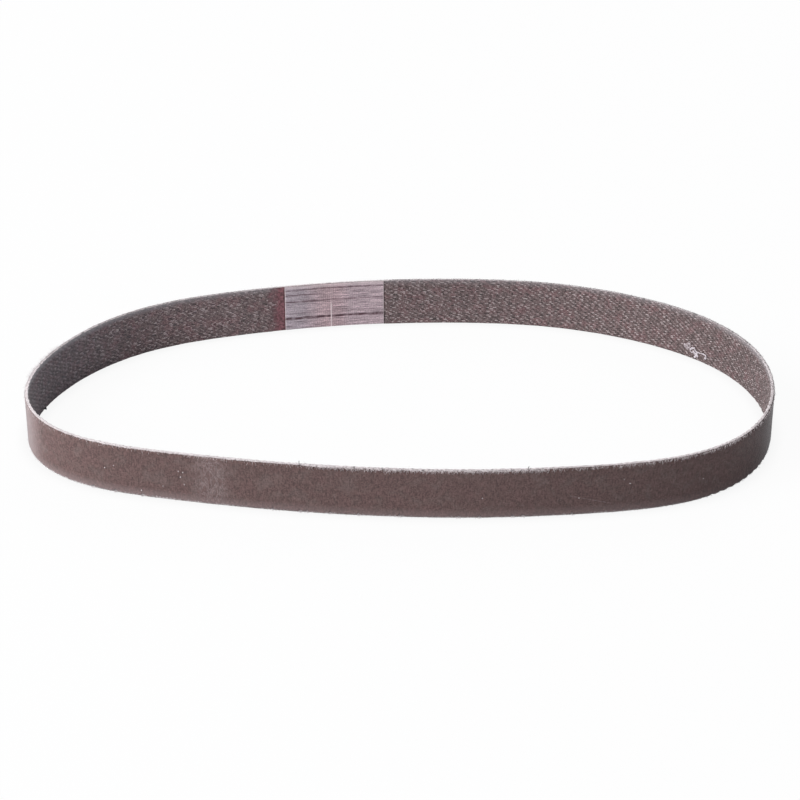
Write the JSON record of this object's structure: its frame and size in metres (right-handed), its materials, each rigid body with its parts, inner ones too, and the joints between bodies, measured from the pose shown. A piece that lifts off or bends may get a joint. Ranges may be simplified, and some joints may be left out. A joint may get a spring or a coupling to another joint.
{
  "type": "sanding belt",
  "caption": "Narrow endless sanding belt of coated twill cloth, butt joined under a reinforced tape, standing on its edge as a loose oval loop.",
  "frame": {"origin": "centre of the loop's bounding box, on the level of the lower edge that it stands on", "axes": "+X along the loop's longest extent, with the taped joint on the +Y side; +Z across the belt's width, upwards"},
  "size_m": [0.1814, 0.0984, 0.0127],
  "materials": {
    "coated_cloth": "matte brown abrasive grain outside, bare brown twill cloth inside",
    "filament_tape": "pale mauve film with lengthwise filaments, satin"
  },
  "bodies": {
    "root": {"abrasive_strip": "coated_cloth", "splice_tape": "filament_tape"}
  },
  "joints": []
}
